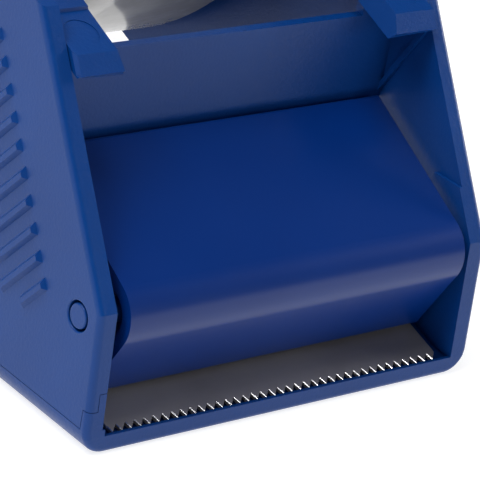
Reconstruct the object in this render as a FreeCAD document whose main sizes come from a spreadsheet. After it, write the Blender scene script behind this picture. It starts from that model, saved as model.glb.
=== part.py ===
import FreeCAD, Part
import math
import os
import re
import Sketcher

# Hand-held closed-body dispenser for 48 mm packing tape on a 76 mm core.
# X runs across the tape, Y from the cutting lip at the front to the hinge at the rear, Z up from the table.
# Sizes along Y count from the lip's edge and sizes along Z from the table. Every sub-part is then placed
# so that the origin is the centre of the whole object's base.

SIZES = {
    # the two side walls
    "half_inner": 27.0, "wall": 2.3, "side_gap": 0.2,
    "nose_y": 0.62, "nose_z": 17.4, "deck_y": 19.3, "deck_z": 46.4,
    "hub_y": 88.0, "hub_z": 66.7, "disc_radius": 60.0, "deck_meet": 195.8, "rim_start": 105.0,
    "rear_y": 148.0, "foot_y": 112.0, "arch_z": 17.0, "arch_front_y": 75.7, "arch_rear_y": 97.0,
    "floor_y": 29.0, "foot_lift": 0.5, "deck_round": 8.0, "foot_round": 4.5, "edge_round": 0.8,
    # floor, cutting lip and the corner post with the strip beside it, which the cover closes on
    "lip_out": 0.35, "lip_z": 2.3, "lip_thick": 0.12, "bed_z": 1.45, "bed_y": 16.0,
    "bed_rise": 4.8, "sill_z": 3.2, "sill_run": 8.0, "corner_y": 0.95, "corner_z": 5.6, "corner_gap": 0.08,
    "strip_out": 27.95, "strip_z": 7.65, "corner_round": 3.1,
    "guide_y": 9.0, "guide_z": 23.2, "guide_high": 0.4,
    # partition, sloping tape shelf that ends in two tabs, and the gusset on the right wall
    "part_y": 21.25, "part_thick": 1.4, "part_low": 28.0, "part_high": 39.3, "part_end": 26.0,
    "tab_y": 15.35, "tab_z": 42.0, "tab_face": 2.05, "tab_bevel": 0.9, "tab_thick": 2.75, "tab_inner": 20.9,
    "tab_spread": 0.9, "tab_rise": 0.8, "tab_corner_x": 0.35, "tab_corner_y": 0.55,
    "shelf_slope": 20.8, "shelf_deep": 19.2, "post_inset": 0.5,
    "step_at": 6.2, "step_high": 0.45, "mark_x": 23.9, "mark_at": 3.2, "mark_radius": 2.15, "mark_deep": 0.08,
    "gusset_low_y": 21.5, "gusset_low_z": 28.4, "gusset_high_y": 15.3, "gusset_high_z": 39.2,
    "gusset_back_y": 0.5, "gusset_back_z": 0.3, "gusset_inner": 26.5,
    # flap, its pin and the bosses round the pin
    "pin_y": 4.54, "pin_z": 15.54, "pin_radius": 1.5, "pin_hole": 1.8, "pin_fit": 0.01, "pin_seat": 0.9,
    "boss_radius": 3.2, "boss_high": 0.5, "ring_round": 0.2,
    "flap_half": 25.4, "nose_radius": 4.6, "flap_thick": 1.6, "upper_lean": 28.0, "lower_lean": 61.0,
    "upper_leg": 20.0, "lower_leg": 10.4, "web_inset": 3.0, "web_thick": 1.6, "web_share": 0.6,
    "pin_play": 0.06,
    # blade, its clamp and screws, all on the sloping bed
    "blade_y": 0.25, "blade_top": 2.2, "blade_slope": 16.7, "blade_half": 25.2, "blade_thick": 0.5,
    "blade_deep": 15.0, "tooth_pitch": 1.33, "tooth_deep": 1.05, "tooth_lead": 0.28, "tooth_count": 38,
    "clamp_from": 8.6, "clamp_half": 24.0, "clamp_thick": 1.6, "screw_x": 16.0, "screw_at": 11.8,
    "screw_radius": 1.2, "screw_head": 2.4, "screw_head_high": 1.2, "screw_deep": 3.0, "screw_play": 0.2,
    "screw_fit": 0.02, "screw_short": 0.4, "screw_slot": 0.6, "screw_slot_deep": 0.5,
    # hub, tape and brake, all on the axle
    "axle_radius": 3.0, "axle_play": 0.06, "axle_fit": 0.02, "axle_bevel": 0.5, "slack": 0.1,
    "hub_left": 24.5, "hub_right": 25.2, "hub_radius": 37.6,
    "hub_wall": 2.4, "flange_radius": 40.0, "flange_thick": 1.2, "flange_deep": 2.0,
    "web_left": 20.4, "web_right": 24.5, "hub_window_radius": 6.0, "hub_window_at": 21.0, "hub_windows": 6,
    "grip_high": 0.3, "grip_root": 0.5, "grip_half": 1.2, "grip_short": 1.0,
    "core_inner": 38.0, "core_outer": 41.5, "core_half": 25.0, "tape_outer": 52.8, "tape_half": 24.0,
    "tape_fit": 0.02,
    "axle_boss_radius": 12.0, "axle_boss_high": 1.0, "friction_radius": 11.0,
    "head_radius": 5.5, "head_left": 15.2, "head_bevel_x": 1.5, "head_bevel": 2.0,
    "washer_thick": 1.1, "washer_radius": 7.4, "washer_play": 0.05,
    "cap_radius": 9.6, "cap_left": 13.2, "cap_wall": 1.3, "cap_bevel": 1.0,
    "brake_washer_thick": 1.2, "spring_from": 31.0, "spring_to": 34.1, "spring_radius": 4.7, "spring_wire": 0.9,
    "knob_from": 29.7, "knob_to": 40.0, "knob_radius": 17.0, "knob_recess": 8.0, "knob_recess_to": 34.75,
    "knob_bevel": 0.6, "knob_round": 1.5, "flute_radius": 4.0, "flute_at": 19.4, "knob_flutes": 12,
    "nut_play": 0.04, "nut_from": 34.8, "nut_to": 39.0, "nut_across": 10.0,
    "axle_end": 38.6,
    # cover hinge
    "barrel_radius": 2.6, "barrel_gap": 0.3, "hinge_radius": 1.2, "hinge_play": 0.05, "hinge_x": -26.7,
    "leaf_lap": 2.0, "hinge_proud": 0.4, "hinge_head_radius": 1.9, "hinge_head_high": 0.9,
    "hinge_low": 14.0, "hinge_mid_low": 26.0, "hinge_mid_high": 50.0, "hinge_high": 62.0,
    "locator_radius": 41.0, "locator_thick": 1.6, "locator_high": 1.5,
    # grip ribs on both sides
    "rib_count": 10, "rib_tip_y": 10.8, "rib_tip_z": 16.5, "rib_step_y": 1.63, "rib_step_z": 2.69,
    "rib_fall": 48.0, "rib_end_z": 12.4, "rib_half": 0.63, "rib_high": 0.55,
    # how far a cutting shape reaches past what it cuts
    "cut_over": 1.0,
}
FLAP_SPRING = {"wire": 0.7, "coil_radius": 2.2, "turns": 6, "pitch": 0.85, "upper_arm": 12.0, "lower_arm": 9.0}
BRAKE_SPRING_TURNS = 2.4
RIB_FLARE = -38         # how far a rib's flanks lean inwards as it rises, in degrees

doc = FreeCAD.newDocument("tape_dispenser")
sheet = doc.addObject("Spreadsheet::Sheet", "Sizes")
for row, (alias, number) in enumerate(SIZES.items(), start=1):
    sheet.set("A%d" % row, alias)
    sheet.set("B%d" % row, str(number))
    sheet.setAlias("B%d" % row, alias)
doc.recompute()


# ---- helpers -------------------------------------------------------------------------------------------

def bound(text):
    """The expression text with each of the sheet's names written in full."""
    return re.sub(r"[a-z][a-z_]+", lambda m: "Sizes." + m[0] if m[0] in SIZES else m[0], text)


def value(text):
    return float(sheet.evalExpression(bound(text)))


X_MID = "(knob_to - half_inner - wall - rib_high) / 2"
Y_MID = "(rear_y + barrel_gap + 2 * barrel_radius - lip_out) / 2"


def place(body, y="0", z="0", lean=None):
    """Puts a body's own origin at (0, y, z), leaning up to the rear by lean degrees."""
    if lean:
        body.setExpression("Placement.Rotation.Axis.x", "1")
        body.setExpression("Placement.Rotation.Axis.z", "0")
        body.setExpression("Placement.Rotation.Angle", bound("(%s) * 1 deg" % lean))
    body.setExpression("Placement.Base.x", bound("-(%s)" % X_MID))
    body.setExpression("Placement.Base.y", bound("%s - %s" % (y, Y_MID)))
    body.setExpression("Placement.Base.z", bound(z))


def new_body(label, y="0", z="0", lean=None):
    body = doc.addObject("PartDesign::Body", label)
    body.Label = label
    place(body, y, z, lean)
    return body


def new_sketch(body, role, height):
    """An empty sketch on one of the body's origin planes, moved along its normal by height."""
    sketch = body.newObject("Sketcher::SketchObject", body.Label + "_sketch")
    origin_plane = [f for f in body.Origin.OriginFeatures if f.Role == role][0]
    sketch.AttachmentSupport = (origin_plane, [""])
    sketch.MapMode = "FlatFace"
    sketch.setExpression("AttachmentOffset.Base.z", bound(height))
    return sketch


def hold(sketch, kind, first, expression):
    """One driving dimension of a sketch, bound to an expression of the sheet."""
    number = sketch.addConstraint(Sketcher.Constraint(kind, *first, value(expression)))
    sketch.setExpression("Constraints[%d]" % number, bound(expression))


def hold_point(sketch, geometry, end, u, v):
    hold(sketch, "DistanceX", (-1, 1, geometry, end), u)
    hold(sketch, "DistanceY", (-1, 1, geometry, end), v)


def add_circle(sketch, u, v, radius):
    centre = FreeCAD.Vector(value(u), value(v), 0)
    circle = sketch.addGeometry(Part.Circle(centre, FreeCAD.Vector(0, 0, 1), value(radius)), False)
    hold_point(sketch, circle, 3, u, v)
    hold(sketch, "Radius", (circle,), radius)


def arc_between(a, b, radius):
    """The short arc from a to b, anticlockwise for a positive radius and clockwise for a negative one."""
    chord = b - a
    rise = math.sqrt(radius * radius - chord.Length ** 2 / 4) * (1 if radius > 0 else -1)
    centre = (a + b) / 2 + FreeCAD.Vector(-chord.y, chord.x, 0) / chord.Length * rise
    first, last = (a, b) if radius > 0 else (b, a)
    angles = [math.atan2(p.y - centre.y, p.x - centre.x) for p in (first, last)]
    return Part.ArcOfCircle(Part.Circle(centre, FreeCAD.Vector(0, 0, 1), abs(radius)), *angles)


def add_outline(sketch, points):
    """A closed outline. A point (u, v) starts a straight edge and (u, v, radius) starts an arc."""
    spots = [FreeCAD.Vector(value(point[0]), value(point[1]), 0) for point in points]
    ends = []
    for index, point in enumerate(points):
        a, b = spots[index], spots[(index + 1) % len(points)]
        if len(point) == 2:
            ends.append((sketch.addGeometry(Part.LineSegment(a, b), False), 1, 2))
            continue
        radius = value(point[2])
        arc = sketch.addGeometry(arc_between(a, b, radius), False)
        hold(sketch, "Radius", (arc,), "abs(%s)" % point[2])
        ends.append((arc, 1, 2) if radius > 0 else (arc, 2, 1))
    for index, point in enumerate(points):
        before, here = ends[index - 1], ends[index]
        sketch.addConstraint(Sketcher.Constraint("Coincident", before[0], before[2], here[0], here[1]))
        hold_point(sketch, here[0], here[1], point[0], point[1])


def draw(body, shapes, role, height):
    sketch = new_sketch(body, role, height)
    for shape in shapes:
        if shape[0] == "circle":
            add_circle(sketch, *shape[1:])
        else:
            add_outline(sketch, shape[1])
    return sketch


def check_volume(body, feature, before, sign):
    """A feature that changes nothing, or the wrong way, is a mistake in its direction."""
    doc.recompute()
    change = body.Shape.Volume - before
    if change * sign <= 1e-6:
        raise RuntimeError("%s changed %s by %.4f" % (feature.Name, body.Label, change))


def pad(body, shapes, start, length, role="YZ_Plane", taper=None, flip=False):
    """Adds material on shapes, from start along the plane's normal for length."""
    doc.recompute()
    before = body.Shape.Volume if body.Tip else 0.0
    sketch = draw(body, shapes, role, start)
    feature = body.newObject("PartDesign::Pad", body.Label + "_pad")
    feature.Profile = sketch
    feature.Reversed = flip
    feature.setExpression("Length", bound(length))
    if taper:
        feature.TaperAngle = taper
    check_volume(body, feature, before, 1)
    return feature


def pocket(body, shapes, start, length, role="YZ_Plane"):
    """Removes material on shapes, from start along the plane's normal for length."""
    before = body.Shape.Volume
    sketch = draw(body, shapes, role, start)
    feature = body.newObject("PartDesign::Pocket", body.Label + "_pocket")
    feature.Profile = sketch
    feature.Reversed = True
    feature.setExpression("Length", bound(length))
    check_volume(body, feature, before, -1)
    return feature


def spin(body, points):
    """A full turn of an outline, given as (x, radius) points, about the body's own X axis."""
    sketch = draw(body, [("outline", points)], "XY_Plane", "0")
    feature = body.newObject("PartDesign::Revolution", body.Label + "_turn")
    feature.Profile = sketch
    feature.ReferenceAxis = (sketch, ["H_Axis"])
    feature.Angle = 360
    check_volume(body, feature, 0.0, 1)
    return feature


def ring_about(body, feature, count):
    """Repeats a feature count times about the body's own X axis."""
    pattern = body.newObject("PartDesign::PolarPattern", body.Label + "_ring")
    pattern.Originals = [feature]
    pattern.Axis = ([f for f in body.Origin.OriginFeatures if f.Role == "X_Axis"][0], [""])
    pattern.Angle = 360
    pattern.Occurrences = count
    body.Tip = pattern
    doc.recompute()


def round_edges(body, radius, chosen):
    """Rounds the edges of the body so far that chosen(edge) picks."""
    doc.recompute()
    base = body.Tip
    names = ["Edge%d" % (i + 1) for i, edge in enumerate(base.Shape.Edges) if chosen(edge)]
    feature = body.newObject("PartDesign::Fillet", body.Label + "_round")
    feature.Base = (base, names)
    feature.setExpression("Radius", bound(radius))
    doc.recompute()
    return feature


def along_x_at(spots):
    """Picks the edges that run along X through one of the (y, z) spots."""
    numbers = [(value(y), value(z)) for y, z in spots]

    def chosen(edge):
        if len(edge.Vertexes) != 2 or edge.Length < 0.3:
            return False
        a, b = edge.Vertexes[0].Point, edge.Vertexes[1].Point
        straight = abs(a.y - b.y) < 1e-4 and abs(a.z - b.z) < 1e-4
        return straight and any(math.hypot(a.y - y, a.z - z) < 0.02 for y, z in numbers)
    return chosen


def ring_at(x, radius):
    """Picks the circular edges of the given radius in the plane at x."""
    def chosen(edge):
        round_one = isinstance(edge.Curve, Part.Circle) and abs(edge.Curve.Radius - value(radius)) < 1e-3
        return round_one and abs(edge.BoundBox.Center.x - value(x)) < 1e-3
    return chosen


def circle(u, v, radius):
    return ("circle", u, v, radius)


def outline(*points):
    return ("outline", list(points))


def box(u0, v0, u1, v1):
    return outline((u0, v0), (u1, v0), (u1, v1), (u0, v1))


# ---- the side walls, shared by the housing and the cover -----------------------------------------------

DECK_MEETS_DISC = ("hub_y + disc_radius * cos(deck_meet * 1 deg)", "hub_z + disc_radius * sin(deck_meet * 1 deg)")

DECK_RUN = "((deck_y - nose_y) / (deck_z - nose_z))"


def front_y(z):
    """How far back the walls' front edge is at height z, between the lip and the nose."""
    return "(-lip_out + (nose_y + lip_out) * (%s - lip_z) / (nose_z - lip_z))" % z


def wall_outline(bottom):
    """The side view of a wall: bottom is its lower edge, from the lip back to the foot."""
    top = [("nose_y", "nose_z"), ("deck_y", "deck_z"), DECK_MEETS_DISC + ("-disc_radius",),
           ("hub_y", "hub_z + disc_radius", "-disc_radius"), ("rear_y", "hub_z")]
    return outline(*(top + bottom[::-1]))


def grip_ribs():
    """Raised ribs on the side: their tips climb beside the front edge and they fall to one level line."""
    shapes = []
    for number in range(SIZES["rib_count"]):
        tip_y = "(rib_tip_y + %d * rib_step_y)" % number
        tip_z = "(rib_tip_z + %d * rib_step_z)" % number
        low_y = "(%s + (%s - rib_end_z) / tan(rib_fall * 1 deg))" % (tip_y, tip_z)
        across_y = "rib_half * " + DECK_RUN
        shapes.append(outline((tip_y + " + " + across_y, tip_z + " + rib_half"),
                              (tip_y + " - " + across_y, tip_z + " - rib_half"),
                              (low_y + " - " + across_y, "rib_end_z - rib_half"),
                              (low_y + " + " + across_y, "rib_end_z + rib_half")))
    return shapes


ARCH_CORNERS = [("arch_rear_y", "arch_z"), ("arch_front_y", "arch_z")]


def right_housing():
    body = new_body("right_housing")
    inner_left = "-(half_inner - side_gap)"
    depth = "2 * half_inner - side_gap"
    bottom = [("-lip_out", "lip_z"), ("-lip_out", "0"), ("floor_y", "0"), ARCH_CORNERS[1], ARCH_CORNERS[0],
              ("foot_y", "0"), ("rear_y", "0")]
    pad(body, [wall_outline(bottom)], "half_inner", "wall")
    rim = outline(("hub_y + disc_radius * cos(rim_start * 1 deg)", "hub_z + disc_radius * sin(rim_start * 1 deg)",
                   "-disc_radius"),
                  ("rear_y", "hub_z"), ("rear_y", "0"), ("foot_y", "0"), ("foot_y", "wall"),
                  ("rear_y - wall", "wall"), ("rear_y - wall", "hub_z", "disc_radius - wall"),
                  ("hub_y + (disc_radius - wall) * cos(rim_start * 1 deg)",
                   "hub_z + (disc_radius - wall) * sin(rim_start * 1 deg)"))
    pad(body, [rim], inner_left, depth + " + wall / 2")
    add_nose_floor(body, inner_left, depth)
    add_shelf(body)
    add_housing_bosses(body)
    round_edges(body, "foot_round", along_x_at([("rear_y", "0")]))
    round_edges(body, "deck_round", along_x_at([DECK_MEETS_DISC] + ARCH_CORNERS))
    for corner in bottom_corners():
        pocket(body, [corner], "-floor_y", "floor_y + cut_over", role="XZ_Plane")
    round_edges(body, "edge_round", nose_rim)
    pad(body, grip_ribs(), "half_inner + wall", "rib_high", taper=RIB_FLARE)
    return body


def bottom_corners():
    """What rounding takes off the nose's two lower corners, seen from the front."""
    side = "(half_inner + wall)"
    right = outline((side + " - corner_round", "0", "corner_round"), (side, "corner_round"),
                    (side + " + cut_over", "corner_round"), (side + " + cut_over", "-cut_over"),
                    (side + " - corner_round", "-cut_over"))
    left = outline(("-" + side, "corner_round", "corner_round"), ("-" + side + " + corner_round", "0"),
                   ("-" + side + " + corner_round", "-cut_over"), ("-" + side + " - cut_over", "-cut_over"),
                   ("-" + side + " - cut_over", "corner_round"))
    return [right, left]


def nose_rim(edge):
    """Picks the outer edges of the nose's front face, from the deck round both lower corners."""
    side, turn = value("half_inner + wall"), value("corner_round")
    front = [(value("-lip_out"), 0.0), (value("-lip_out"), value("lip_z")), (value("nose_y"), value("nose_z")),
             (value("deck_y"), value("deck_z"))]
    spots = [edge.valueAt(edge.FirstParameter + share * (edge.LastParameter - edge.FirstParameter))
             for share in (0.0, 0.5, 1.0)]
    for p in spots:
        in_front = any(low[1] - 1e-4 <= p.z <= high[1] + 1e-4 and
                       abs(low[0] + (high[0] - low[0]) * (p.z - low[1]) / (high[1] - low[1]) - p.y) < 1e-3
                       for low, high in zip(front, front[1:]))
        over = math.hypot(abs(p.x) - side + turn, p.z - turn) if p.z < turn and abs(p.x) > side - turn else turn
        outside = abs(abs(p.x) - side) < 1e-4 or abs(p.z) < 1e-4 or (over != turn and abs(over - turn) < 1e-3)
        if not (in_front and outside):
            return False
    return edge.Length > 0.3


def front_edge(side):
    """Picks the outer edges of a wall's two straight front runs, where its side face is at x = side."""
    def chosen(edge):
        if len(edge.Vertexes) != 2 or edge.Length < 5:
            return False
        ends = [vertex.Point for vertex in edge.Vertexes]
        on_side = all(abs(p.x - side) < 1e-4 for p in ends)
        before_deck = max(p.y for p in ends) < value("deck_y") + 0.01
        return on_side and before_deck and max(p.z for p in ends) > value("nose_z") - 1
    return chosen


def add_nose_floor(body, inner_left, depth):
    """Floor under the nose with the cutting lip, the sloping bed behind it and the post the cover closes on."""
    bed = outline(("-lip_out", "0"), ("floor_y", "0"), ("floor_y", "wall"), ("bed_y", "wall"),
                  ("bed_y", "bed_z + bed_rise"), ("lip_thick", "bed_z"), ("lip_thick", "lip_z"),
                  ("-lip_out", "lip_z"))
    pad(body, [bed], inner_left, depth + " + wall")
    sill_top, post_top, post_back = "sill_z - corner_gap", "corner_z - corner_gap", "corner_y - corner_gap"
    sill = outline(("-lip_out", "0"), ("floor_y", "0"), ("floor_y + sill_run", sill_top), (post_back, sill_top),
                   (front_y("sill_z"), sill_top), ("-lip_out", "lip_z"))
    pad(body, [sill], "-(half_inner + wall)", "wall + 2 * side_gap")
    post = outline(("-lip_out", "lip_z"), (post_back, "lip_z"), (post_back, post_top),
                   (front_y("(%s)" % post_top), post_top))
    pad(body, [post], "-(half_inner + wall)", "wall")
    strip = outline((front_y("(%s)" % post_top), post_top), (post_back, post_top), (post_back, "strip_z"),
                    (front_y("strip_z"), "strip_z"))
    pad(body, [strip], "-strip_out", "strip_out - half_inner")
    guide = outline(("-lip_out", "lip_z"), ("guide_y", "lip_z"), ("guide_y", "guide_z"),
                    ("nose_y + (guide_z - nose_z) * " + DECK_RUN, "guide_z"), ("nose_y", "nose_z"))
    pad(body, [guide], "half_inner - guide_high", "guide_high + wall / 2")


def slope_z(y):
    """The height of the shelf's upper face at y."""
    return "(tab_z + (%s - tab_y) * tan(shelf_slope * 1 deg))" % y


def slanted_pocket(body, shape, role, height, direction):
    """Removes shape along a slanting direction, through the whole shelf and past it."""
    doc.recompute()
    before = body.Shape.Volume
    feature = body.newObject("PartDesign::Pocket", body.Label + "_slant")
    feature.Profile = draw(body, [shape], role, height)
    feature.UseCustomVector = True
    feature.Direction = direction
    feature.AlongSketchNormal = False
    feature.setExpression("Length", bound("2 * shelf_deep"))
    check_volume(body, feature, before, -1)


def add_shelf(body):
    """Partition behind the flap, and the sloping shelf whose two tabs reach forward over it."""
    pad(body, [box("part_y", "part_low", "part_y + part_thick", "part_high")],
        "-part_end", "part_end + half_inner + wall / 2")
    rear, step_y = "(tab_y + shelf_deep)", "(tab_y + step_at)"
    face_y, face_z = "(tab_y - tab_face * %s)" % DECK_RUN, "(tab_z - tab_face)"
    profile = outline(("tab_y", "tab_z"), (face_y, face_z),
                      (face_y + " + tab_bevel", slope_z("(%s + tab_bevel)" % face_y) + " - tab_thick"),
                      (rear, slope_z(rear) + " - tab_thick"), (rear, slope_z(rear) + " + step_high"),
                      (step_y, slope_z(step_y) + " + step_high"), (step_y, slope_z(step_y)))
    post = box("part_y", "part_high - cut_over", "part_y + part_thick", slope_z("part_y") + " - tab_thick / 2")
    slope = math.radians(value("shelf_slope"))
    along = FreeCAD.Vector(0, math.cos(slope), math.sin(slope))
    start_y = "(%s - cut_over)" % face_y
    under = slope_z(start_y) + " - tab_thick"
    below, above = under + " - tab_thick / 2", slope_z(start_y) + " + tab_thick / 2"
    inner, post_x = "(tab_inner - tab_spread)", "(tab_inner + post_inset)"
    for side, wall_x in (("-", "(half_inner - side_gap)"), ("", "half_inner")):
        pad(body, [profile], "-" + wall_x if side else inner, wall_x + " - " + inner)
        past_end = side + "(tab_inner - 2 * tab_spread)"
        wedge = outline((side + "(tab_inner - 1.5 * tab_spread)", below),
                        (side + "(tab_inner + 0.5 * tab_spread)", above), (past_end, above), (past_end, below))
        rise = outline((side + inner, under), (side + wall_x, under + " + tab_rise"), (side + wall_x, below),
                       (side + inner, below))
        for shape in (wedge, rise):
            slanted_pocket(body, shape, "XZ_Plane", "-" + start_y, along)
        pad(body, [post], "-" + wall_x if side else post_x, wall_x + " - " + post_x)
    outer = "-(half_inner - side_gap)"
    corner = outline((outer + " - cut_over", start_y), (outer + " + tab_corner_x", start_y),
                     (outer + " + tab_corner_x", face_y), (outer, face_y + " + tab_corner_y"),
                     (outer + " - cut_over", face_y + " + tab_corner_y"))
    lean = math.atan(value(DECK_RUN))
    slanted_pocket(body, corner, "XY_Plane", face_z, FreeCAD.Vector(0, math.sin(lean), math.cos(lean)))
    gusset = outline(("gusset_low_y", "gusset_low_z"),
                     ("gusset_low_y + gusset_back_y", "gusset_low_z + gusset_back_z"),
                     ("gusset_high_y + gusset_back_y", "gusset_high_z + gusset_back_z"),
                     ("gusset_high_y", "gusset_high_z"))
    pad(body, [gusset], "gusset_inner", "half_inner - gusset_inner + wall / 2")
    marks = draw(body, [circle(sign + "mark_x", "mark_at", "mark_radius") for sign in ("-", "")], "XY_Plane", "0")
    tilt(marks, "shelf_slope", "tab_y", "tab_z")
    before = body.Shape.Volume
    feature = body.newObject("PartDesign::Pocket", "ejector_marks")
    feature.Profile = marks
    feature.setExpression("Length", bound("mark_deep"))
    check_volume(body, feature, before, -1)


def tilt(sketch, slope, y, z):
    """Tilts a sketch on the level plane up to the rear by slope, about a line along X at (y, z)."""
    sketch.AttachmentOffset = FreeCAD.Placement(FreeCAD.Vector(), FreeCAD.Rotation(FreeCAD.Vector(1, 0, 0), 1))
    sketch.setExpression("AttachmentOffset.Rotation.Angle", bound(slope + " * 1 deg"))
    sketch.setExpression("AttachmentOffset.Base.y", bound(y))
    sketch.setExpression("AttachmentOffset.Base.z", bound(z))


def add_housing_bosses(body):
    """Bosses and holes for the flap's pin and the axle, the screw holes and the hinge's middle barrel."""
    pad(body, [circle("pin_y", "pin_z", "boss_radius")], "half_inner - boss_high", "boss_high + wall / 2")
    pocket(body, [circle("pin_y", "pin_z", "pin_radius + pin_fit")], "half_inner - boss_high",
           "boss_high + wall / 2")
    pad(body, [circle("hub_y", "hub_z", "axle_boss_radius")], "half_inner - axle_boss_high",
        "axle_boss_high + wall / 2")
    pocket(body, [circle("hub_y", "hub_z", "axle_radius + axle_fit")], "half_inner - axle_boss_high",
           "axle_boss_high + 2 * wall")
    pad(body, [box("hinge_x", "rear_y - wall / 2", "hinge_x + barrel_radius", HINGE_Y)],
        "hinge_mid_low", HINGE_MID, role="XY_Plane")
    pad(body, [circle("hinge_x", HINGE_Y, "barrel_radius")], "hinge_mid_low", HINGE_MID, role="XY_Plane")
    pocket(body, [circle("hinge_x", HINGE_Y, "hinge_radius + hinge_play")], "hinge_mid_low", HINGE_MID,
           role="XY_Plane")
    before = body.Shape.Volume
    sketch = draw(body, [circle(sign + "screw_x", "screw_at", "screw_radius + screw_fit") for sign in ("-", "")],
                  "XY_Plane", "0")
    tilt(sketch, "blade_slope", "blade_y", "blade_top")
    feature = body.newObject("PartDesign::Pocket", "screw_holes")
    feature.Profile = sketch
    feature.setExpression("Length", bound("blade_thick + screw_deep"))
    check_volume(body, feature, before, -1)


HINGE_Y = "rear_y + barrel_gap + barrel_radius"
HINGE_MID = "hinge_mid_high - hinge_mid_low"


def left_cover():
    body = new_body("left_cover")
    outer = "-(half_inner + wall)"
    arch_step = "floor_y + sill_z * (arch_front_y - floor_y) / arch_z"
    bottom = [(front_y("corner_z"), "corner_z"), ("corner_y", "corner_z"), ("corner_y", "sill_z"),
              (arch_step, "sill_z"), ARCH_CORNERS[1], ARCH_CORNERS[0],
              ("foot_y - foot_lift * (foot_y - arch_rear_y) / arch_z", "foot_lift"), ("rear_y", "foot_lift")]
    pad(body, [wall_outline(bottom)], outer, "wall")
    for low, high in (("hinge_low", "hinge_mid_low - barrel_gap"), ("hinge_mid_high + barrel_gap", "hinge_high")):
        tall = "%s - (%s)" % (high, low)
        pad(body, [box(outer, "rear_y - leaf_lap", "hinge_x - barrel_gap", HINGE_Y)], low, tall, role="XY_Plane")
        pad(body, [circle("hinge_x", HINGE_Y, "barrel_radius")], low, tall, role="XY_Plane")
        pocket(body, [circle("hinge_x", HINGE_Y, "hinge_radius + hinge_play")], low, tall, role="XY_Plane")
    locator = [circle("hub_y", "hub_z", radius) for radius in ("locator_radius", "locator_radius - locator_thick")]
    pad(body, locator, "-half_inner - wall / 2", "locator_high + wall / 2")
    pad(body, [circle("pin_y", "pin_z", "boss_radius")], "-half_inner - wall / 2", "boss_high + wall / 2")
    pocket(body, [circle("pin_y", "pin_z", "pin_hole")], outer, "wall + boss_high")
    pocket(body, [box("-lip_out", "corner_z - cut_over", "corner_y", "strip_z + corner_gap")],
           "-strip_out - corner_gap", "strip_out + corner_gap - half_inner + side_gap")
    round_edges(body, "foot_round", along_x_at([("rear_y", "foot_lift")]))
    round_edges(body, "deck_round", along_x_at([DECK_MEETS_DISC] + ARCH_CORNERS))
    round_edges(body, "edge_round", front_edge(value(outer)))
    round_edges(body, "ring_round", ring_at("-(half_inner + wall)", "pin_hole"))
    pad(body, grip_ribs(), outer, "rib_high", taper=RIB_FLARE, flip=True)
    return body


# ---- flap and its pin ----------------------------------------------------------------------------------

def leg_points(radius):
    """Where the flap's two legs leave the nose, at a given radius from the pin."""
    upper = ("-(%s) * sin(upper_lean * 1 deg)" % radius, "(%s) * cos(upper_lean * 1 deg)" % radius)
    lower = ("-(%s) * sin(lower_lean * 1 deg)" % radius, "-(%s) * cos(lower_lean * 1 deg)" % radius)
    return upper, lower


def leg_end(start, lean, length, sign):
    return ("%s + (%s) * cos(%s * 1 deg)" % (start[0], length, lean),
            "%s %s (%s) * sin(%s * 1 deg)" % (start[1], sign, length, lean))


def flap():
    body = new_body("flap", "pin_y", "pin_z")
    upper, lower = leg_points("nose_radius")
    upper_in, lower_in = leg_points("nose_radius - flap_thick")
    shell = outline(upper + ("nose_radius",), lower, leg_end(lower, "lower_lean", "lower_leg", "-"),
                    leg_end(lower_in, "lower_lean", "lower_leg", "-"),
                    lower_in + ("-(nose_radius - flap_thick)",),
                    upper_in, leg_end(upper_in, "upper_lean", "upper_leg", "+"),
                    leg_end(upper, "upper_lean", "upper_leg", "+"))
    pad(body, [shell], "-flap_half", "2 * flap_half")
    upper_mid, lower_mid = leg_points("nose_radius - flap_thick / 2")
    web = outline(upper_mid, lower_mid, leg_end(lower_mid, "lower_lean", "lower_leg * web_share", "-"),
                  leg_end(upper_mid, "upper_lean", "upper_leg * web_share", "+"))
    for start in ("-flap_half + web_inset", "flap_half - web_inset - web_thick"):
        pad(body, [web], start, "web_thick")
    for start in ("-flap_half + web_inset", "flap_half - web_inset - web_thick"):
        pad(body, [circle("0", "0", "nose_radius - flap_thick / 2")], start, "web_thick")
    pocket(body, [circle("0", "0", "pin_radius + pin_play")], "-flap_half", "2 * flap_half")
    ends = [leg_end(side, lean, length, sign) for side, lean, length, sign in (
        (upper, "upper_lean", "upper_leg", "+"), (upper_in, "upper_lean", "upper_leg", "+"),
        (lower, "lower_lean", "lower_leg", "-"), (lower_in, "lower_lean", "lower_leg", "-"))]
    round_edges(body, "flap_thick / 3", along_x_at(ends))
    return body


def rod(label, y, z, start, length, radius):
    body = new_body(label, y, z)
    pad(body, [circle("0", "0", radius)], start, length)
    return body


def flap_pin():
    body = rod("flap_pin", "pin_y", "pin_z", "-(half_inner + wall)", "2 * half_inner + wall + pin_seat",
               "pin_radius")
    round_edges(body, "ring_round", ring_at("-(half_inner + wall)", "pin_radius"))
    return body


def coil_wire(radius, pitch, turns, first_angle, start):
    """A helix about the X axis from x = start, whose first point is at first_angle in the YZ plane."""
    helix = Part.makeHelix(pitch, pitch * turns, radius)
    out = FreeCAD.Vector(0, math.cos(first_angle), math.sin(first_angle))
    along = FreeCAD.Vector(1, 0, 0)
    side = along.cross(out)
    helix.Placement = FreeCAD.Placement(FreeCAD.Matrix(out.x, side.x, along.x, start, out.y, side.y, along.y, 0,
                                                       out.z, side.z, along.z, 0, 0, 0, 0, 1))
    return helix.Edges


def sweep_round(edges, wire, first, direction):
    """A round wire swept along edges, which start at the point first and leave it along direction."""
    section = Part.Wire([Part.makeCircle(wire / 2, first, direction)])
    return Part.Wire(edges).makePipeShell([section], True, True)


def spring_feature(label, shape, y, z):
    feature = doc.addObject("Part::Feature", label)
    feature.Label = label
    feature.Shape = shape
    place(feature, y, z)
    return feature


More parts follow.
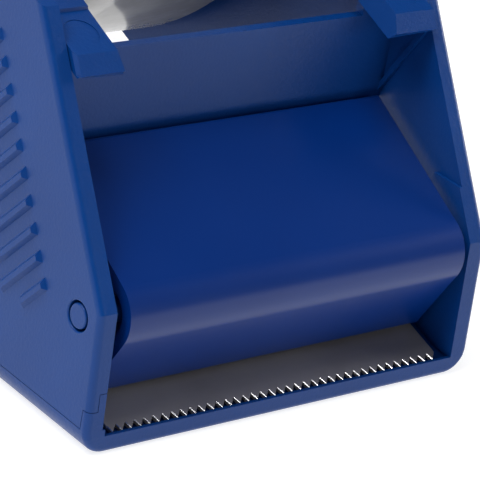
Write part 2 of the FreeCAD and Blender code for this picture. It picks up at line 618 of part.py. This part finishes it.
def flap_spring():
    """Torsion spring round the pin: one arm under the flap's upper leg and one down to the blade's plate."""
    radius, pitch, turns = (FLAP_SPRING[name] for name in ("coil_radius", "pitch", "turns"))
    upper, lower = math.radians(90 + value("upper_lean")), math.radians(270 - value("lower_lean"))
    coil = coil_wire(radius, pitch, turns + (lower - upper) / (2 * math.pi), upper, -pitch * turns / 2)
    begin, end = coil[0].FirstParameter, coil[-1].LastParameter
    first, first_way = coil[0].valueAt(begin), coil[0].tangentAt(begin)
    last, last_way = coil[-1].valueAt(end), coil[-1].tangentAt(end)
    tip = first - first_way * FLAP_SPRING["upper_arm"]
    arms = [Part.makeLine(tip, first), Part.makeLine(last, last + last_way * FLAP_SPRING["lower_arm"])]
    solid = sweep_round([arms[0]] + coil + [arms[1]], FLAP_SPRING["wire"], tip, first_way)
    return spring_feature("flap_spring", solid, "pin_y", "pin_z")


# ---- blade and clamp -----------------------------------------------------------------------------------

def blade():
    body = new_body("blade", "blade_y", "blade_top", "blade_slope")
    pad(body, [box("-blade_half", "0", "blade_half", "blade_deep")], "-blade_thick", "blade_thick",
        role="XY_Plane")
    pocket(body, [circle(sign + "screw_x", "screw_at", "screw_radius + screw_play") for sign in ("-", "")],
           "-blade_thick", "blade_thick", role="XY_Plane")
    notch = outline(("-blade_half - tooth_pitch + tooth_lead", "0"), ("-blade_half + tooth_lead", "0"),
                    ("-blade_half", "tooth_deep"))
    first = pocket(body, [notch], "-blade_thick", "blade_thick", role="XY_Plane")
    pattern = body.newObject("PartDesign::LinearPattern", "teeth")
    pattern.Originals = [first]
    pattern.Direction = ([f for f in body.Origin.OriginFeatures if f.Role == "X_Axis"][0], [""])
    pattern.setExpression("Length", bound("tooth_pitch * tooth_count"))
    pattern.setExpression("Occurrences", bound("tooth_count + 1"))
    body.Tip = pattern
    doc.recompute()
    return body


def blade_clamp():
    body = new_body("blade_clamp", "blade_y", "blade_top", "blade_slope")
    pad(body, [box("-clamp_half", "clamp_from", "clamp_half", "blade_deep")], "0", "clamp_thick", role="XY_Plane")
    pocket(body, [circle(sign + "screw_x", "screw_at", "screw_radius + screw_play") for sign in ("-", "")],
           "0", "clamp_thick", role="XY_Plane")
    return body


def blade_screws():
    """Two pan-head screws as one group of separate solids."""
    screws = []
    for sign in (-1, 1):
        at = FreeCAD.Vector(sign * value("screw_x"), value("screw_at"), value("clamp_thick"))
        head = Part.makeCylinder(value("screw_head"), value("screw_head_high"), at)
        shank_length = value("clamp_thick + blade_thick + screw_deep - screw_short")
        shank = Part.makeCylinder(value("screw_radius"), shank_length, at, FreeCAD.Vector(0, 0, -1))
        corner = FreeCAD.Vector(-value("screw_head"), -value("screw_slot / 2"),
                                value("screw_head_high - screw_slot_deep"))
        slot = Part.makeBox(2 * value("screw_head"), value("screw_slot"), value("screw_slot_deep"), at + corner)
        screws.append(head.fuse(shank).cut(slot).removeSplitter())
    feature = doc.addObject("Part::Feature", "blade_screws")
    feature.Label = "blade_screws"
    feature.Shape = Part.makeCompound(screws)
    place(feature, "blade_y", "blade_top", "blade_slope")
    return feature


# ---- hub, tape and brake -------------------------------------------------------------------------------

def tube(label, start, length, outer, inner):
    """A ring on the axle."""
    body = new_body(label, "hub_y", "hub_z")
    pad(body, [circle("0", "0", outer), circle("0", "0", inner)], start, length)
    return body


def hub():
    body = new_body("hub", "hub_y", "hub_z")
    bore = "axle_radius + axle_play"
    inner = "hub_radius - hub_wall"
    spin(body, [("web_left", bore), ("web_left", inner), ("-hub_left", inner), ("-hub_left", "hub_radius"),
                ("hub_right", "hub_radius"), ("hub_right", "flange_radius"),
                ("hub_right + flange_thick", "flange_radius"),
                ("hub_right + flange_thick", inner + " - flange_deep"),
                ("web_right", inner + " - flange_deep"), ("web_right", bore)])
    window = pocket(body, [circle("0", "hub_window_at", "hub_window_radius")], "web_left", "web_right - web_left")
    ring_about(body, window, SIZES["hub_windows"])
    grip = pad(body, [box("-grip_half", "hub_radius - grip_root", "grip_half", "hub_radius + grip_high")],
               "-hub_left", "hub_left + hub_right - grip_short")
    ring_about(body, grip, SIZES["hub_windows"])
    return body


def hub_cap():
    body = new_body("hub_cap", "hub_y", "hub_z")
    spin(body, [("web_left", "cap_radius"), ("web_left", "cap_radius - cap_wall"),
                ("cap_left + cap_wall", "cap_radius - cap_wall"), ("cap_left + cap_wall", "0"),
                ("cap_left", "0"), ("cap_left", "cap_radius - cap_bevel"),
                ("cap_left + cap_bevel", "cap_radius")])
    return body


def axle_bolt():
    body = new_body("axle_bolt", "hub_y", "hub_z")
    head_right = "web_left - slack - washer_thick"
    spin(body, [("head_left", "0"), ("axle_end", "0"), ("axle_end", "axle_radius - axle_bevel"),
                ("axle_end - axle_bevel", "axle_radius"), (head_right, "axle_radius"),
                (head_right, "head_radius"),
                ("head_left + head_bevel_x", "head_radius"), ("head_left", "head_radius - head_bevel")])
    return body


def hexagon(across):
    """A hexagon with the given distance across its flats."""
    corner = "(%s) / 2 / cos(30 deg)" % across
    return outline(*[("%s * cos(%d deg)" % (corner, turn), "%s * sin(%d deg)" % (corner, turn))
                     for turn in range(0, 360, 60)])


def knob_nut():
    body = new_body("knob_nut", "hub_y", "hub_z")
    pad(body, [hexagon("nut_across"), circle("0", "0", "axle_radius + washer_play")], "nut_from",
        "nut_to - nut_from")
    return body


def brake_knob():
    body = new_body("brake_knob", "hub_y", "hub_z")
    spin(body, [("knob_from", "knob_recess"), ("knob_from", "knob_radius - knob_bevel"),
                ("knob_from + knob_bevel", "knob_radius"), ("knob_to - knob_round", "knob_radius", "knob_round"),
                ("knob_to", "knob_radius - knob_round"),
                ("knob_to", "0"), ("knob_recess_to", "0"), ("knob_recess_to", "knob_recess")])
    pocket(body, [hexagon("nut_across + nut_play")], "knob_recess_to", "nut_to + slack - knob_recess_to")
    flute = pocket(body, [circle("0", "flute_at", "flute_radius")], "knob_from", "knob_to - knob_from")
    ring_about(body, flute, SIZES["knob_flutes"])
    return body


def brake_spring():
    turns, radius, start = BRAKE_SPRING_TURNS, value("spring_radius"), value("spring_from")
    coil = coil_wire(radius, value("spring_to - spring_from") / turns, turns, 0, start)
    first = coil[0].valueAt(coil[0].FirstParameter)
    solid = sweep_round(coil, value("spring_wire"), first, FreeCAD.Vector(0, 0, 1))
    return spring_feature("brake_spring", solid, "hub_y", "hub_z")


def hinge_pin():
    body = new_body("hinge_pin")
    pad(body, [circle("hinge_x", HINGE_Y, "hinge_radius")], "hinge_low - hinge_proud",
        "hinge_high - hinge_low + 2 * hinge_proud", role="XY_Plane")
    pad(body, [circle("hinge_x", HINGE_Y, "hinge_head_radius")], "hinge_high + slack", "hinge_head_high",
        role="XY_Plane")
    return body


# ---- build, check and write ----------------------------------------------------------------------------

WASHER_BORE = "axle_radius + washer_play"
PARTS = [
    right_housing(), left_cover(), hinge_pin(), flap(), flap_pin(), flap_spring(), blade(), blade_clamp(),
    blade_screws(), hub(), hub_cap(), axle_bolt(), knob_nut(), brake_knob(), brake_spring(),
    tube("hub_washer", "web_left - slack - washer_thick", "washer_thick", "washer_radius", WASHER_BORE),
    tube("friction_washer", "web_right + slack", "half_inner - axle_boss_high - web_right - slack",
         "friction_radius", WASHER_BORE),
    tube("brake_washer", "half_inner + wall", "brake_washer_thick", "washer_radius", WASHER_BORE),
    tube("tape_core", "-core_half", "2 * core_half", "core_outer", "core_inner"),
    tube("tape_roll", "-tape_half", "2 * tape_half", "tape_outer", "core_outer + tape_fit"),
]
doc.recompute()
for item in doc.Objects:
    if "Invalid" in item.State or "Error" in item.State:
        raise RuntimeError("%s failed: %s" % (item.Name, item.State))
os.makedirs("parts", exist_ok=True)
for part in PARTS:
    if part.Shape.isNull() or not part.Shape.isValid():
        raise RuntimeError(part.Label + " is not a valid shape")
    print("%-16s %8.1f mm3  %d solid(s)" % (part.Label, part.Shape.Volume, len(part.Shape.Solids)))
for part in PARTS:
    part.Shape.exportStep("parts/%s.step" % part.Label)
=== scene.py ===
"""Looks for the hand-held packing tape dispenser. Everything is in metres, in the CAD model's own frame."""
import math
import random

import bmesh
import bpy
from mathutils import Matrix, Vector


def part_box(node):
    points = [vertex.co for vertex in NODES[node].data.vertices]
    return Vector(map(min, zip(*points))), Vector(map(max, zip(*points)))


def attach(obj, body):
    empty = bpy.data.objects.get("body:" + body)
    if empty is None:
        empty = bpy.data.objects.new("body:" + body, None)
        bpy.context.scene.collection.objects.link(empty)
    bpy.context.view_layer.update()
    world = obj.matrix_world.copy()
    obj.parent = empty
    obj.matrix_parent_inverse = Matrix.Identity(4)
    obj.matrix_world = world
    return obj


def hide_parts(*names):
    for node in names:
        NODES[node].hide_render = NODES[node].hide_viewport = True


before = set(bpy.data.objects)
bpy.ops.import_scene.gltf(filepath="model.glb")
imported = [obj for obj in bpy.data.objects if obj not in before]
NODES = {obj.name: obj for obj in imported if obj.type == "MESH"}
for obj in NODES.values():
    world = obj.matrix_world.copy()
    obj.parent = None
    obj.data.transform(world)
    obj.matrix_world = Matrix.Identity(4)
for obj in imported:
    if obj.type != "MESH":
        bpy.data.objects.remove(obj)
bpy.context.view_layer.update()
MM = 0.001

HUB = (Vector(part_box("tape_roll")[0]) + Vector(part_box("tape_roll")[1])) / 2
FLAP_LOW = Vector(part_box("flap")[0])


# ---- camera, floor and lights --------------------------------------------------------------------------

CAMERA_TURN = 43.29     # degrees from +Y towards +X
CAMERA_DROP = 24.62     # degrees below the horizon
CAMERA_ROLL = 10.96     # degrees, right side up
CAMERA_DISTANCE = 0.359
CAMERA_LENS = 229.9     # mm on a 36 mm sensor
SENSOR_WIDTH = 36
AIM = Vector((24.03, 10.92, 13.08)) * MM    # from the flap's lowest corner to the middle of the view

FLOOR_SIZE = 6
FLOOR_GREY = 0.40
FLOOR_GLOW = 0.78       # the table is lit from inside, so shadows on it stay faint

WORLD_LIGHT = 0.06
# name, place, aim, size in metres, power in watts
LIGHTS = [
    ("left_low", (-1.30, 0.10, 0.38), (0, 0, 0.05), (1.1, 0.5), 2.5),
    ("overhead", (-0.40, 0.20, 1.25), (0, 0, 0.03), (0.9, 0.9), 16),
    ("behind", (0.35, 1.30, 0.80), (0, 0.1, 0), (1.2, 0.6), 6),
    ("front_fill", (0.25, -1.25, 0.35), (0, 0, 0.03), (0.5, 0.35), 2.5),
    ("right_low", (1.20, -0.25, 0.42), (0, 0, 0.05), (0.5, 0.4), 7),
    ("glint", (-0.78, -0.12, 0.86), (0, -0.07, 0.01), (0.34, 0.34), 3.0),
]


def set_camera():
    """The camera looks down on the nose from its left front."""
    turn, drop, roll = (math.radians(a) for a in (CAMERA_TURN, CAMERA_DROP, CAMERA_ROLL))
    forward = Vector((math.sin(turn) * math.cos(drop), math.cos(turn) * math.cos(drop), -math.sin(drop)))
    level_right = forward.cross(Vector((0, 0, 1))).normalized()
    level_up = level_right.cross(forward)
    right = level_right * math.cos(roll) + level_up * math.sin(roll)
    up = right.cross(forward)
    matrix = Matrix((right, up, -forward)).transposed().to_4x4()
    matrix.translation = FLAP_LOW + AIM - forward * CAMERA_DISTANCE
    camera = bpy.data.objects.new("camera", bpy.data.cameras.new("camera"))
    camera.data.lens = CAMERA_LENS
    camera.data.sensor_width = SENSOR_WIDTH
    camera.data.clip_start = 0.01
    camera.matrix_world = matrix
    bpy.context.collection.objects.link(camera)
    bpy.context.scene.camera = camera


def add_floor():
    """A plain white table that glows a little."""
    bpy.ops.mesh.primitive_plane_add(size=FLOOR_SIZE)
    floor = bpy.context.object
    floor.name = "floor"
    material = bpy.data.materials.new("floor")
    material.use_nodes = True
    shader = material.node_tree.nodes["Principled BSDF"]
    shader.inputs["Base Color"].default_value = (FLOOR_GREY, FLOOR_GREY, FLOOR_GREY, 1)
    shader.inputs["Roughness"].default_value = 0.9
    shader.inputs["Emission Color"].default_value = (1, 1, 1, 1)
    shader.inputs["Emission Strength"].default_value = FLOOR_GLOW
    floor.data.materials.append(material)


def add_light(name, place, aim, size, power):
    """A soft rectangular light at place, facing aim."""
    light = bpy.data.objects.new(name, bpy.data.lights.new(name, "AREA"))
    light.data.shape = "RECTANGLE"
    light.data.size, light.data.size_y = size
    light.data.energy = power
    light.location = place
    light.rotation_euler = (Vector(aim) - Vector(place)).to_track_quat("-Z", "Y").to_euler()
    bpy.context.collection.objects.link(light)


def add_studio():
    """A dim room. The main light is overhead, and the glint light shines on the teeth's ground edges."""
    world = bpy.data.worlds.new("studio")
    world.use_nodes = True
    world.node_tree.nodes["Background"].inputs["Color"].default_value = (1, 1, 1, 1)
    world.node_tree.nodes["Background"].inputs["Strength"].default_value = WORLD_LIGHT
    bpy.context.scene.world = world
    for light in LIGHTS:
        add_light(*light)
    bpy.context.scene.view_settings.view_transform = "Standard"


# ---- materials -----------------------------------------------------------------------------------------

class Nodes:
    """A material's node tree, with short calls for the nodes used here."""

    def __init__(self, name):
        self.material = bpy.data.materials.new(name)
        self.material.use_nodes = True
        self.tree = self.material.node_tree
        self.shader = self.tree.nodes["Principled BSDF"]
        self.place = self.add("ShaderNodeTexCoord").outputs["Object"]

    def add(self, kind, inputs=None, **settings):
        """A node of the given kind: each input is a number, a colour or another node's output."""
        node = self.tree.nodes.new(kind)
        for key, value in settings.items():
            setattr(node, key, value)
        for key, value in (inputs or {}).items():
            if isinstance(value, bpy.types.NodeSocket):
                self.tree.links.new(value, node.inputs[key])
            else:
                node.inputs[key].default_value = value
        return node

    def stretched(self, scale):
        return self.add("ShaderNodeMapping", {"Vector": self.place, "Scale": scale}).outputs["Vector"]

    def noise(self, scale, detail=2.0, rough=0.5, place=None):
        inputs = {"Vector": place or self.place, "Scale": scale, "Detail": detail, "Roughness": rough}
        return self.add("ShaderNodeTexNoise", inputs).outputs["Fac"]

    def remap(self, value, low, high, low_to, high_to):
        return self.add("ShaderNodeMapRange", {"Value": value, "From Min": low, "From Max": high,
                                               "To Min": low_to, "To Max": high_to}).outputs["Result"]

    def mix(self, share, first, second):
        node = self.add("ShaderNodeMix", data_type="RGBA")
        self.tree.links.new(share, node.inputs[0])
        for socket, value in ((node.inputs[6], first), (node.inputs[7], second)):
            if isinstance(value, bpy.types.NodeSocket):
                self.tree.links.new(value, socket)
            else:
                socket.default_value = value
        return node.outputs[2]

    def bump(self, height, distance, strength=1.0, below=None):
        inputs = {"Height": height, "Distance": distance, "Strength": strength}
        if below is not None:
            inputs["Normal"] = below
        return self.add("ShaderNodeBump", inputs).outputs["Normal"]

    def feed(self, **sockets):
        """Sets or links the shader's sockets, named in lower case, and gives the material."""
        for name, value in sockets.items():
            socket = self.shader.inputs[name.replace("_", " ").title().replace("Ior", "IOR")]
            if isinstance(value, bpy.types.NodeSocket):
                self.tree.links.new(value, socket)
            else:
                socket.default_value = value
        return self.material


def moulded_plastic(name, deep, pale, rough, grain, grain_scale):
    """Moulded plastic: fine spark texture, faint cloudiness in colour and in gloss."""
    n = Nodes(name)
    cloud = n.noise(60, 3)
    speck = n.noise(grain_scale, 2, 0.6)
    colour = n.mix(n.remap(cloud, 0.35, 0.65, 0.0, 1.0), deep, pale)
    gloss = n.remap(speck, 0.3, 0.7, rough - 0.05, rough + 0.07)
    fine = n.bump(speck, grain)
    wave = n.bump(n.noise(35, 1), 0.00012, 0.25, below=fine)
    return n.feed(base_color=colour, roughness=gloss, normal=wave, ior=1.46, specular_ior_level=0.3)


def flap_plastic():
    """The flap's plastic: smooth and satin, without the housing's texture, in a darker blue that paints in
    shade.
    """
    n = Nodes("flap_satin_shaded")
    cloud = n.noise(45, 2)
    # These blues are a darker copy of the housing's blue: painted shade for the flap lying between the side
    # walls.
    colour = n.mix(n.remap(cloud, 0.35, 0.65, 0.0, 1.0), (0.0003, 0.0225, 0.155, 1),
                   (0.0004, 0.0245, 0.166, 1))
    gloss = n.remap(n.noise(160, 3, 0.6), 0.3, 0.7, 0.28, 0.30)
    return n.feed(base_color=colour, roughness=gloss, ior=1.46, specular_ior_level=0.4)


def blued_steel():
    """The blade's dark face, with fine streaks across it."""
    n = Nodes("blued_steel")
    streak = n.noise(1500, 3, 0.6, place=n.stretched((0.06, 1.0, 1.0)))
    cloud = n.noise(90, 3)
    colour = n.mix(n.remap(cloud, 0.3, 0.7, 0.0, 1.0), (0.225, 0.215, 0.230, 1), (0.290, 0.280, 0.292, 1))
    return n.feed(base_color=colour, metallic=0.4, roughness=n.remap(streak, 0.3, 0.7, 0.42, 0.55),
                  normal=n.bump(streak, 0.00001, 0.5))


def ground_steel():
    """The bright strip that grinding leaves on a tooth."""
    n = Nodes("ground_steel")
    streak = n.noise(2600, 2, 0.5, place=n.stretched((1.0, 0.1, 0.1)))
    return n.feed(base_color=(0.86, 0.86, 0.87, 1), metallic=1.0,
                  roughness=n.remap(streak, 0.3, 0.7, 0.18, 0.34))


def plated_steel():
    n = Nodes("plated_steel")
    mottle = n.noise(700, 4, 0.6)
    colour = n.mix(n.remap(mottle, 0.35, 0.65, 0.0, 1.0), (0.42, 0.42, 0.43, 1), (0.60, 0.60, 0.60, 1))
    return n.feed(base_color=colour, metallic=1.0, roughness=n.remap(mottle, 0.3, 0.7, 0.25, 0.42))


def black_plastic():
    n = Nodes("black_plastic")
    speck = n.noise(2600, 2, 0.6)
    cloud = n.noise(80, 2)
    colour = n.mix(n.remap(cloud, 0.35, 0.65, 0.0, 1.0), (0.012, 0.012, 0.013, 1), (0.020, 0.020, 0.021, 1))
    return n.feed(base_color=colour, roughness=n.remap(speck, 0.3, 0.7, 0.42, 0.56),
                  normal=n.bump(speck, 0.00003, 0.5))


def kraft_board():
    """Spiral-wound grey-brown board with fibres."""
    n = Nodes("kraft_board")
    fibre = n.noise(900, 4, 0.7, place=n.stretched((0.5, 1.0, 1.0)))
    colour = n.mix(n.remap(fibre, 0.3, 0.7, 0.0, 1.0), (0.26, 0.17, 0.095, 1), (0.44, 0.31, 0.19, 1))
    return n.feed(base_color=colour, roughness=0.85, normal=n.bump(fibre, 0.00008, 0.5))


def wound_film():
    """Clear film over pale adhesive: mottled where air is trapped between the turns, and glossy."""
    n = Nodes("wound_film")
    blotch = n.noise(60, 4, 0.62)
    fine = n.noise(420, 3, 0.6)
    base = n.mix(n.remap(blotch, 0.40, 0.62, 0.0, 1.0), (0.58, 0.56, 0.50, 1), (0.78, 0.76, 0.70, 1))
    colour = n.mix(n.remap(fine, 0.50, 0.72, 0.0, 0.35), base, (0.86, 0.85, 0.82, 1))
    return n.feed(base_color=colour, roughness=n.remap(blotch, 0.3, 0.7, 0.10, 0.20),
                  normal=n.bump(n.noise(38, 3, 0.5), 0.0006, 0.35), ior=1.5)


def film_edges():
    """The roll's flat ends: the edges of many turns."""
    n = Nodes("film_edges")
    mottle = n.remap(n.noise(240, 4, 0.7), 0.3, 0.7, 0.0, 1.0)
    return n.feed(base_color=n.mix(mottle, (0.25, 0.21, 0.14, 1), (0.42, 0.37, 0.28, 1)), roughness=0.38)


def felt():
    n = Nodes("felt")
    fibre = n.noise(1800, 4, 0.75)
    return n.feed(base_color=n.mix(fibre, (0.12, 0.11, 0.10, 1), (0.30, 0.28, 0.25, 1)), roughness=0.95,
                  normal=n.bump(fibre, 0.0001, 0.7))


def wear(node, material):
    """Gives a CAD node a material."""
    mesh = NODES[node].data
    mesh.materials.clear()
    mesh.materials.append(material)


BLUE_NODES = ("right_housing", "left_cover", "flap_pin")
STEEL_NODES = ("hinge_pin", "flap_spring", "blade_screws", "axle_bolt", "knob_nut", "brake_spring",
               "hub_washer", "brake_washer")
BLACK_NODES = ("blade_clamp", "hub", "hub_cap", "brake_knob")


def paint_cad_nodes():
    """Gives every CAD node that is shown as it is its material."""
    housing = moulded_plastic("housing_blue", deep=(0.0006, 0.037, 0.190, 1), pale=(0.0009, 0.042, 0.210, 1),
                              rough=0.34, grain=0.00003, grain_scale=2300)
    steel, black = plated_steel(), black_plastic()
    for node in BLUE_NODES:
        wear(node, housing)
    wear("flap", flap_plastic())
    for node in STEEL_NODES:
        wear(node, steel)
    for node in BLACK_NODES:
        wear(node, black)
    wear("friction_washer", felt())


# ---- pieces made here ----------------------------------------------------------------------------------

def new_piece(name, bm, body, materials, node):
    """Turns the mesh being built into a piece that rides on body, in place of a CAD node."""
    mesh = bpy.data.meshes.new(name)
    bm.normal_update()
    bm.to_mesh(mesh)
    bm.free()
    for material in materials:
        mesh.materials.append(material)
    piece = bpy.data.objects.new(name, mesh)
    bpy.context.collection.objects.link(piece)
    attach(piece, body)
    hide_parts(node)


BLADE_SLOPE = math.radians(16.7)
BLADE_LENGTH = 15.0 * MM
BLADE_THICK = 0.5 * MM
TOOTH_COUNT = 38
TOOTH_DEEP = 1.05 * MM
TOOTH_LEAD = 0.28 * MM      # how far the steep flank runs sideways from root to tip
GROUND = 0.06 * MM          # width of the ground strip along a tooth's steep edge; the other is half as wide
GROUND_DEEP = 0.07 * MM     # how far down the edge the ground strip reaches


def blade_point(spot, above):
    """A point of the sloping blade: spot is (x, distance up its slope from the teeth)."""
    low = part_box("blade")[0]
    return Vector((spot[0], low.y + spot[1] * math.cos(BLADE_SLOPE) - above * math.sin(BLADE_SLOPE),
                   low.z + spot[1] * math.sin(BLADE_SLOPE) + (above + BLADE_THICK) * math.cos(BLADE_SLOPE)))


def crossing(a, along_a, b, along_b):
    """Where the line from a along along_a meets the line from b along along_b."""
    share = ((b - a).x * along_b.y - (b - a).y * along_b.x) / (along_a.x * along_b.y - along_a.y * along_b.x)
    return a + along_a * share


def make_blade():
    """The serrated plate: each tooth leans one way and is ground along both flanks, which makes them bright."""
    low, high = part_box("blade")
    pitch = (high.x - low.x) / TOOTH_COUNT
    bm = bmesh.new()

    def add(corners, material):
        face = bm.faces.new([bm.verts.new(blade_point(spot, above)) for spot, above in corners])
        face.material_index = material

    for number in range(TOOTH_COUNT):
        root = Vector((low.x + number * pitch, TOOTH_DEEP))
        tip = Vector((root.x + TOOTH_LEAD, 0.0))
        after = Vector((root.x + pitch, TOOTH_DEEP))
        steep, flat = (tip - root).normalized(), (after - tip).normalized()
        steep_in = root + Vector((-steep.y, steep.x)) * GROUND
        flat_in = tip + Vector((-flat.y, flat.x)) * GROUND / 2
        level = Vector((1.0, 0.0))
        left = crossing(steep_in, steep, root, level)
        right = crossing(flat_in, flat, root, level)
        inner_tip = crossing(steep_in, steep, flat_in, flat)
        root_in, after_in = (spot + Vector((0.0, GROUND)) for spot in (root, after))
        back, back_after = (Vector((spot.x, BLADE_LENGTH)) for spot in (root, after))
        edge, under = -GROUND_DEEP, -BLADE_THICK
        top = [root_in, left, inner_tip, right, after_in, back_after, back]
        add([(spot, 0) for spot in top], 0)
        add([(root, edge), (tip, edge), (inner_tip, 0), (left, 0)], 1)
        add([(root, edge), (left, 0), (root_in, 0)], 1)
        add([(tip, edge), (after, edge), (right, 0), (inner_tip, 0)], 1)
        add([(after, edge), (after_in, 0), (right, 0)], 1)
        add([(root, edge), (root, under), (tip, under), (tip, edge)], 0)
        add([(tip, edge), (tip, under), (after, under), (after, edge)], 0)
        add([(root, under), (back, under), (back_after, under), (after, under), (tip, under)], 0)
        add([(back, 0), (back_after, 0), (back_after, under), (back, under)], 0)
        if number == 0:
            add([(root, edge), (root_in, 0), (back, 0), (back, under), (root, under)], 0)
        if number == TOOTH_COUNT - 1:
            add([(after, edge), (after, under), (back_after, under), (back_after, 0), (after_in, 0)], 0)
    bmesh.ops.remove_doubles(bm, verts=bm.verts, dist=1e-6)
    bmesh.ops.recalc_face_normals(bm, faces=bm.faces)
    new_piece("blade_detail", bm, "housing", [blued_steel(), ground_steel()], "blade")


def ring_mesh(profile, steps, centre):
    """A closed outline of (x, radius, material) points turned about the hub's axis."""
    bm = bmesh.new()
    rows = []
    for step in range(steps):
        turn = 2 * math.pi * step / steps
        rows.append([bm.verts.new((x, centre.y + radius * math.cos(turn), centre.z + radius * math.sin(turn)))
                     for x, radius, _ in profile])
    for step in range(steps):
        here, after = rows[step], rows[(step + 1) % steps]
        for index, (_, _, material) in enumerate(profile):
            following = (index + 1) % len(profile)
            face = bm.faces.new((here[index], here[following], after[following], after[index]))
            face.material_index = material
            face.smooth = True
    bmesh.ops.recalc_face_normals(bm, faces=bm.faces)
    return bm


ROLL_FIT = 0.02 * MM        # between the core and the first turn
ROLL_BANDS = 30             # groups of turns seen on each end
ROLL_RIDGE = 0.14 * MM      # how far a group may lie below the end's face
ROLL_EDGE = 0.05 * MM       # the last turn's inset on the left
ROLL_STEPS = 256


def make_roll():
    """The wound tape: its ends show the edges of the turns as fine uneven ridges."""
    low, high = (Vector(corner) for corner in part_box("tape_roll"))
    outer = (high.z - low.z) / 2
    inner = (Vector(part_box("tape_core")[1]) - Vector(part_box("tape_core")[0])).z / 2 + ROLL_FIT
    rng = random.Random(7)
    end = []
    for band in range(ROLL_BANDS + 1):
        radius = inner + (outer - inner) * band / ROLL_BANDS
        end.append((rng.uniform(0.0, ROLL_RIDGE), radius))
    profile = [(low.x + inset, radius, 1) for inset, radius in end]
    profile += [(high.x - inset, radius, 1) for inset, radius in reversed(end)]
    profile[ROLL_BANDS] = (low.x + ROLL_EDGE, outer, 0)
    bm = ring_mesh(profile, ROLL_STEPS, HUB)
    new_piece("roll_of_tape", bm, "roll", [wound_film(), film_edges()], "tape_roll")


CORE_WALL = 3.48 * MM
CORE_EASE = 0.3 * MM        # bevel of the board's edges
CORE_STEPS = 192


def make_core():
    """The board tube inside the roll, with softened edges."""
    low, high = (Vector(corner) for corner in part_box("tape_core"))
    outer = (high.z - low.z) / 2
    inner = outer - CORE_WALL
    profile = [(low.x + CORE_EASE, outer, 0), (high.x - CORE_EASE, outer, 0), (high.x, outer - CORE_EASE, 0),
               (high.x, inner + CORE_EASE, 0), (high.x - CORE_EASE, inner, 0), (low.x + CORE_EASE, inner, 0),
               (low.x, inner + CORE_EASE, 0), (low.x, outer - CORE_EASE, 0)]
    bm = ring_mesh(profile, CORE_STEPS, HUB)
    new_piece("board_core", bm, "roll", [kraft_board()], "tape_core")


set_camera()
add_floor()
add_studio()
paint_cad_nodes()
make_blade()
make_roll()
make_core()
